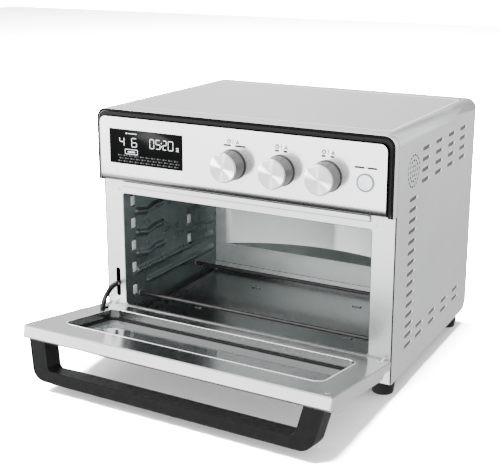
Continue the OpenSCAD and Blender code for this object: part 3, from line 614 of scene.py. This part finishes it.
KNOBS = ("left", "middle", "right")
KNOB_PIECES = []
KNOB_R = 21.0
KNOB_PROFILE = [(0, 0), (9, 0), (18.9, 0), (19.3, 0), (20.2, -0.5), (20.4, -0.9), (20.1, -1.1), (20.1, -1.9),
                (20.9, -2.1), (21.0, -2.4), (21.0, -24.6), (20.4, -26.2), (19.4, -27.0), (0, -27.0)]


def knob_pieces():
    """Turned knobs: a flat face, a bright chamfer with a groove behind it, and a straight side."""
    for which in KNOBS:
        node = "knob_" + which
        lo, hi = mm_box(node)
        cx, cz = (lo.x + hi.x) / 2, (lo.z + hi.z) / 2
        scale = (hi.x - lo.x) / 2 / KNOB_R
        place = facing_front(cx, cz, lo.y)
        b = Build()
        b.lathe([(r * scale, h) for r, h in KNOB_PROFILE], place, 96)
        KNOB_PIECES.append(b.piece("turned_" + node, KNOB, node, "knob_aluminium", (node,), 12))


SEGMENTS = {"0": "abcdef", "2": "abged", "4": "fgbc", "5": "afgcd", "6": "afgedc"}
SEGMENT_W = 1.0
SEGMENT_GAP = 0.35
LIT_FROM, LIT_TO = -0.05, 0.12
MARK_FROM, MARK_TO = 0.02, 0.1
MARK_RISE = 33
BAR_RISE = 27.2
DIGITS = (("4", 18, 27.5, 11.5, 26), ("6", 39.7, 50, 11.5, 26), ("0", 72.2, 81, 10, 25),
          ("5", 83, 92, 10, 25), ("2", 95.4, 103, 10, 25), ("0", 104.6, 114.3, 10, 25))


def segment(b, place, x0, y0, x1, y1, w):
    """One segment between two points, with pointed ends."""
    dx, dy = x1 - x0, y1 - y0
    run = math.hypot(dx, dy)
    ux, uy = dx / run, dy / run
    px, py = -uy * w / 2, ux * w / 2
    e = w / 2
    outline = [(x0, y0), (x0 + ux * e + px, y0 + uy * e + py), (x1 - ux * e + px, y1 - uy * e + py),
               (x1, y1), (x1 - ux * e - px, y1 - uy * e - py), (x0 + ux * e - px, y0 + uy * e - py)]
    b.slab(outline, place, LIT_FROM, LIT_TO)


def digit(b, place, char, x0, x1, top, low):
    mid = (top + low) / 2
    g = SEGMENT_GAP
    ends = {"a": (x0 + g, top, x1 - g, top), "b": (x1, top - g, x1, mid + g), "c": (x1, mid - g, x1, low + g),
            "d": (x0 + g, low, x1 - g, low), "e": (x0, mid - g, x0, low + g), "f": (x0, top - g, x0, mid + g),
            "g": (x0 + g, mid, x1 - g, mid)}
    for s in SEGMENTS[char]:
        segment(b, place, *ends[s], SEGMENT_W)


def display_content():
    """Generic numbers, a small box icon and faint rows of marks, in the display's own millimetres."""
    lit_part, faint = Build(), Build()
    x_left, z_top = SCREEN_LO.x, SCREEN_HI.z
    place = facing_front(x_left, z_top, SCREEN_LO.y)
    for char, x0, x1, top, low in DIGITS:
        digit(lit_part, place, char, x0 + 0.8, x1 - 0.8, -top - 0.8, -low + 0.8)
    shapes = [(92.7, 94.3, y - 0.8, y + 0.8, 0.5, 3) for y in (-15, -20)]
    shapes += [(30, 32.5, -6.7, -4.4, 1.1, 4), (34, 50, -6.0, -5.0, 0.3, 2)]
    shapes += [(*box, 0.3, 2) for box in ((28, 51, -30, -29.2), (28, 51, -37, -36.2), (28, 28.8, -37, -29.2),
                                          (50.2, 51, -37, -29.2), (33, 46, -34.2, -32.4))]
    shapes += [(119, 123.5, -24.6 + 2.2 * k, -23.6 + 2.2 * k, 0.3, 2) for k in range(3)]
    for shape in shapes:
        lit_part.slab(round_box(*shape), place, LIT_FROM, LIT_TO)
    for row, z in enumerate((-39.5, -43.8, -48.2)):
        for k in range(11):
            x = 15 + k * 10.0 + (row % 2) * 2.5
            faint.slab(round_box(x, x + 3, z - 1.1, z + 1.1, 0.7, 3), place, LIT_FROM, MARK_TO)
            faint.slab(round_box(x + 3.8, x + 7.4, z - 0.45, z + 0.45, 0.2, 2), place, LIT_FROM, MARK_TO)
    lit_part.piece("display_digits", GLOW, "case", "display_black", (), 35, True)
    faint.piece("display_icons", DIM, "case", "display_black", (), 35, True)


def outline_mark(b, place, outer, inner):
    """A raised line between two outlines of equally many points."""
    b.rings([[place(p, q, MARK_FROM) for p, q in outer], [place(p, q, MARK_TO) for p, q in outer],
             [place(p, q, MARK_TO) for p, q in inner], [place(p, q, MARK_FROM) for p, q in inner]])


def bar_mark(b, place, x0, x1, z0, z1, r):
    b.slab(round_box(x0, x1, z0, z1, r, 2), place, MARK_FROM, MARK_TO)


def panel_marks():
    """Generic marks: an icon pair and bars above each knob, two bars above the button."""
    b = Build()
    y = PANEL_LO.y
    ring, ring_hole = circle(3.1, 20), circle(1.8, 20)
    triangle, triangle_hole = [(-3, -2.6), (3, -2.6), (0, 2.8)], [(-1.0, -1.5), (1.0, -1.5), (0, 0.3)]
    for k, which in enumerate(KNOBS):
        lo, hi = mm_box("knob_" + which)
        cx, cz = (lo.x + hi.x) / 2, (lo.z + hi.z) / 2
        left = facing_front(cx - 5.4, cz + MARK_RISE, y)
        outline_mark(b, left, ring, ring_hole)
        bar_mark(b, left, -0.45, 0.45, 0, 1.8, 0.2)
        outline_mark(b, facing_front(cx + 8, cz + MARK_RISE, y), triangle, triangle_hole)
        bar_mark(b, facing_front(cx + 0.8, cz + MARK_RISE, y), -0.45, 0.45, -3.6, 3.6, 0.2)
        bars = ((-14.3, -2.7), (4, 21)) if k == 0 else ((-9, -3), (4, 10))
        for x0, x1 in bars:
            bar_mark(b, facing_front(cx, cz + BAR_RISE, y), x0, x1, -1.3, 1.3, 0.3)
    lo, hi = mm_box("start_button")
    at = facing_front((lo.x + hi.x) / 2, (lo.z + hi.z) / 2 + 20, y)
    for x0, x1 in ((-16, -1.6), (2.4, 16)):
        bar_mark(b, at, x0, x1, -1.3, 1.3, 0.4)
    b.slab([(-0.9, -1.6), (-0.3, -1.6), (1.3, 1.6), (0.7, 1.6)], at, MARK_FROM, MARK_TO)
    b.piece("panel_marks", INK, "case", "black_plastic", (), 35, True)


# ---- Cavity ------------------------------------------------------------------------

RIB_R = 6.5
RIB_H = 4.6
CLIP_ROWS = [CASE_LO.z + h for h in (201, 164.5, 128, 91.5, 54)]
CLIP_REAR_ROWS = [CASE_LO.z + h for h in (130.5, 96)]
CLIP_HALF = (6, 9)
CLIPS = [(CASE_LO.y + 26, z) for z in CLIP_ROWS] + [(CASE_LO.y + 189, z) for z in CLIP_REAR_ROWS]
WALL_FACE = 206.5
SHEET = 0.8


def rib_lines():
    """Centre lines of the pressed rack guides, as (y, z) polylines."""
    f, top, base = CASE_LO.y, WALL_HI.z, CASE_LO.z
    lines = []
    for z in (top - 43, top - 78, top - 112.5):
        lines.append([(f + 36, z + 1), (f + 62, z - 5), (f + 84, z), (f + 109, z)])
        lines.append([(f + 188, z), (f + 263, z)])
    low = base + 84
    lines.append([(f + 36, low), (f + 263, low)])
    lines.append([(f + 62, base + 60), (f + 263, base + 60)])
    return lines


def near(p, a, b):
    """Distance from p to the segment a-b."""
    dx, dy = b[0] - a[0], b[1] - a[1]
    t = max(0.0, min(1.0, ((p[0] - a[0]) * dx + (p[1] - a[1]) * dy) / (dx * dx + dy * dy)))
    return math.hypot(p[0] - a[0] - t * dx, p[1] - a[1] - t * dy)


def wall_height(y, z, lines, holes):
    d = min(near((y, z), a, b) for line in lines for a, b in zip(line, line[1:]))
    h = RIB_H * 0.5 * (1 + math.cos(math.pi * d / RIB_R)) if d < RIB_R else 0.0
    for hy, hz, r in holes:
        q = math.hypot(y - hy, z - hz)
        if q < r:
            h = -2.6
        elif q < r + 3:
            h = max(h, 1.4 * (1 - (q - r) / 3))
    return h


def snapped(start, stop, step, edges):
    """Evenly spaced lines, with the nearest one moved onto each edge."""
    n = max(2, round((stop - start) / step))
    line = [start + (stop - start) * i / n for i in range(n + 1)]
    for e in edges:
        i = min(range(len(line)), key=lambda k: abs(line[k] - e))
        line[i] = e
    return sorted(line)


def side_walls():
    """Smooth walls with soft pressed guides, open where the bright clips show."""
    f, base = CASE_LO.y, CASE_LO.z
    holes = ((f + 150, base + 129, 5.0), (f + 129.5, base + 175, 2.4))
    lines = rib_lines()
    dy, dz = CLIP_HALF
    ys = snapped(WALL_LO.y, WALL_HI.y, 2.0, [v for y, z in CLIPS for v in (y - dy, y + dy)])
    zs = snapped(WALL_LO.z, WALL_HI.z, 2.0, [v for y, z in CLIPS for v in (z - dz, z + dz)])
    heights = [[wall_height(y, z, lines, holes) for z in zs] for y in ys]
    for name, node, side in (("left_wall_pressed", "cavity_left_wall", -1),
                             ("right_wall_pressed", "cavity_right_wall", 1)):
        b = Build()
        verts = [(side * (WALL_FACE - heights[i][j]), y, z)
                 for i, y in enumerate(ys) for j, z in enumerate(zs)]
        faces = []
        m = len(zs)
        for i in range(len(ys) - 1):
            for j in range(m - 1):
                cy, cz = (ys[i] + ys[i + 1]) / 2, (zs[j] + zs[j + 1]) / 2
                if any(abs(cy - y) < dy and abs(cz - z) < dz for y, z in CLIPS):
                    continue
                faces.append((i * m + j, (i + 1) * m + j, (i + 1) * m + j + 1, i * m + j + 1))
        b.add(verts, faces)
        ob = b.piece(name, WALL, "case", "cavity_wall", (node,), 80)
        thick = ob.modifiers.new("sheet", "SOLIDIFY")
        thick.thickness = SHEET * MM
        thick.offset = -1


def clip_faces():
    """Bright tongues of the wall clips, standing a little out of their windows."""
    b = Build()
    dy, dz = CLIP_HALF[0] - 1.0, CLIP_HALF[1] - 1.2
    for side in (-1, 1):
        for y, z in CLIPS:
            def place(p, q, h, y=y, z=z, side=side):
                return Vector((side * (WALL_FACE - h), y + p, z + q))
            b.bevel_slab(round_box(-dy, dy, -dz, dz, 1.5, 4), place, -1.0, 0.9, 0.7)
    b.piece("clip_faces", TONGUE, "case", "hardware_steel")


def strip(b, x0, x1, z0, z1, y):
    b.slab(round_box(x0, x1, z0, z1, 0.2, 2), lambda p, q, h: Vector((p, y - h, q)), -0.1, 0.12)


def outline_strip(b, x0, x1, z0, z1, w, y):
    """Thin line round a rectangle on the front."""
    strip(b, x0 - w, x0, z0 - w, z1 + w, y)
    strip(b, x1, x1 + w, z0 - w, z1 + w, y)
    strip(b, x0, x1, z1, z1 + w, y)
    strip(b, x0, x1, z0 - w, z0, y)


def front_seams():
    """Dark joints where the front plate meets the case, the header trim and the mouth."""
    b = Build()
    lo = mm_box("front_frame")[0]
    head_lo, head_hi = mm_box("header_trim")
    y = lo.y
    for side in (-1, 1):
        x = side * (CASE_HI.x - 1.25)
        strip(b, x - 0.8, x + 0.8, lo.z + 2, PANEL_LO.z, y)
    outline_strip(b, head_lo.x, head_hi.x, head_lo.z, head_hi.z, 0.9, y)
    outline_strip(b, -205.2, 205.2, CASE_LO.z + 38, CASE_LO.z + 219.2, 0.5, y)
    b.piece("front_seams", SEAM, "case", "black_plastic", (), 35, True)


# ---- Door --------------------------------------------------------------------------

def door_trim():
    """Bead round the window recess of the door, coloured as bright chrome: a painted highlight on the rounded
    edge of the recess.
    """
    b = Build()
    path = round_box(-205, 205, 29, 152, 15, 10)
    bead(b, path, lambda p, q, h: on_door(p, 4.75 + 0.7 * h, q), 1.2)
    b.piece("door_window_bead", DOOR_BEAD_HIGHLIGHT, "door", "bezel_chrome")


def arm_rails():
    """Raised edges on both faces of the curved stay."""
    b = Build()
    x0, x1 = (v.x for v in mm_box("hinge_arm"))
    mid = (x0 + x1) / 2
    steps = 24
    for side in (-1, 1):
        for r0, r1 in ((36.2, 37.4), (41.6, 42.8)):
            rings = []
            for i in range(steps + 1):
                t = math.radians(2 + 78 * i / steps)
                rings.append([on_door(mid + side * x, r * math.cos(t), r * math.sin(t))
                              for r, x in ((r0, 1.9), (r0, 2.5), (r1, 2.5), (r1, 1.9))])
            b.rings(rings, True, True, True)
    b.piece("hinge_arm_rails", ARM, "door", "arm_black")


# ---- Camera and light --------------------------------------------------------------

def camera():
    cam = bpy.data.cameras.new("camera")
    cam.sensor_width = 36
    cam.lens = 70.9
    cam.shift_y = -0.10
    ob = bpy.data.objects.new("camera", cam)
    bpy.context.scene.collection.objects.link(ob)
    ob.location = (0.674, -1.3637, 0.6232)
    ob.rotation_euler = (math.radians(90 - 14.01), 0, math.radians(28.84))
    bpy.context.scene.camera = ob


def light(name, at, to, size, power):
    data = bpy.data.lights.new(name, "AREA")
    data.shape = "RECTANGLE"
    data.size, data.size_y = size
    data.energy = power
    ob = bpy.data.objects.new(name, data)
    bpy.context.scene.collection.objects.link(ob)
    ob.location = at
    ob.rotation_euler = (Vector(to) - Vector(at)).to_track_quat("-Z", "Y").to_euler()
    ob.visible_camera = False
    return ob


def only_for(lamps, objects):
    """Limits lamps to some objects."""
    group = bpy.data.collections.new("lit_by_" + lamps[0].name)
    for ob in objects:
        group.objects.link(ob)
    for lamp in lamps:
        lamp.light_linking.receiver_collection = group


# Soft studio: broad changes of brightness round the compass (0.5 is +Y, 0.75 is +X), and by height
AROUND = ((0.0, 1.7), (0.09, 1.8), (0.21, 1.0), (0.33, 0.6), (0.42, 0.75), (0.50, 0.38), (0.58, 0.75),
          (0.68, 0.7), (0.80, 0.8), (1.0, 1.7))
UPWARD = ((0.0, 0.4), (0.35, 0.6), (0.5, 0.9), (0.75, 0.8), (1.0, 0.9))
PEAK = 2.5
STUDIO_POWER = 3.0
BACKDROP_POWER = 40.0
MIDDLE = (0, 0, 0.2)
KNOB_ROW = (0.07, -0.2, 0.31)
FLOOR_HALF = 6.0


def grey_ramp(tree, stops, fac):
    ramp = tree.nodes.new("ShaderNodeValToRGB")
    cr = ramp.color_ramp
    while len(cr.elements) < len(stops):
        cr.elements.new(0.5)
    for el, (at, v) in zip(cr.elements, stops):
        el.position = at
        el.color = (v / PEAK, v / PEAK, v / PEAK, 1)
    tree.links.new(fac, ramp.inputs["Fac"])
    return ramp.outputs["Color"]


def studio_world():
    world = bpy.data.worlds.new("studio")
    bpy.context.scene.world = world
    world.use_nodes = True
    t = world.node_tree
    t.nodes["Background"].inputs["Color"].default_value = (1, 1, 1, 1)
    way = split_coord(t, "Generated")
    turn = maths(t, "ARCTAN2", way["X"], way["Y"])
    around = grey_ramp(t, AROUND, maths(t, "ADD", maths(t, "MULTIPLY", turn, 0.5 / math.pi), 0.5))
    height = maths(t, "ADD", maths(t, "MULTIPLY", way["Z"], 0.5), 0.5)
    upward = grey_ramp(t, UPWARD, height)
    level = maths(t, "MULTIPLY", maths(t, "MULTIPLY", around, upward), PEAK * PEAK * STUDIO_POWER)
    path = t.nodes.new("ShaderNodeLightPath")
    seen = t.nodes.new("ShaderNodeMix")
    seen.data_type = "FLOAT"
    t.links.new(path.outputs["Is Camera Ray"], seen.inputs["Factor"])
    t.links.new(level, seen.inputs["A"])
    seen.inputs["B"].default_value = BACKDROP_POWER
    t.links.new(seen.outputs["Result"], t.nodes["Background"].inputs["Strength"])


def studio():
    studio_world()
    light("key", (-1.9, -1.5, 1.5), MIDDLE, (0.7, 0.7), 45)
    light("top", (0.1, 0.3, 2.2), MIDDLE, (2.2, 1.8), 10)
    light("display_glare", (-1.10, -1.07, 0.22), (-0.18, -0.19, 0.33), (0.20, 0.14), 3)
    only_for([light("knob_left_light", (-1.6, -1.3, 0.25), KNOB_ROW, (0.25, 0.5), 80),
              light("knob_top_light", (-0.65, -1.55, 0.80), KNOB_ROW, (0.3, 0.2), 12)], KNOB_PIECES)
    over_floor = light("over_floor", (-0.8, -0.5, 2.6), (0, 0, 0), (2.0, 2.0), 26000)
    floor = Shader("floor_white", 0.6, 0.0, Emission_Strength=0.1, Specular_IOR_Level=0.0)
    floor.base(floor.noise(3.0), grey(0.90), grey(0.93))
    floor.link(floor.colours(floor.noise(2.0), (0.2, grey(0.97)), (0.8, grey(1.0))),
               floor.bsdf.inputs["Emission Color"])
    me = bpy.data.meshes.new("floor")
    r = FLOOR_HALF
    me.from_pydata([(-r, -r, 0), (r, -r, 0), (r, r, 0), (-r, r, 0)], [], [(0, 1, 2, 3)])
    me.materials.append(floor.mat)
    ob = bpy.data.objects.new("floor", me)
    bpy.context.scene.collection.objects.link(ob)
    ob.visible_diffuse = False
    ob.visible_glossy = False
    only_for([over_floor], [ob])


dress_nodes()
for hand, way_out in (("left", -1), ("right", 1)):
    louvres("louvres_" + hand, way_out)
    rosette_shade_disc("rosette_shade_disc_" + hand, way_out)
top_bead()
screw_marks()
knob_pieces()
display_content()
panel_marks()
side_walls()
clip_faces()
front_seams()
door_trim()
arm_rails()
camera()
studio()
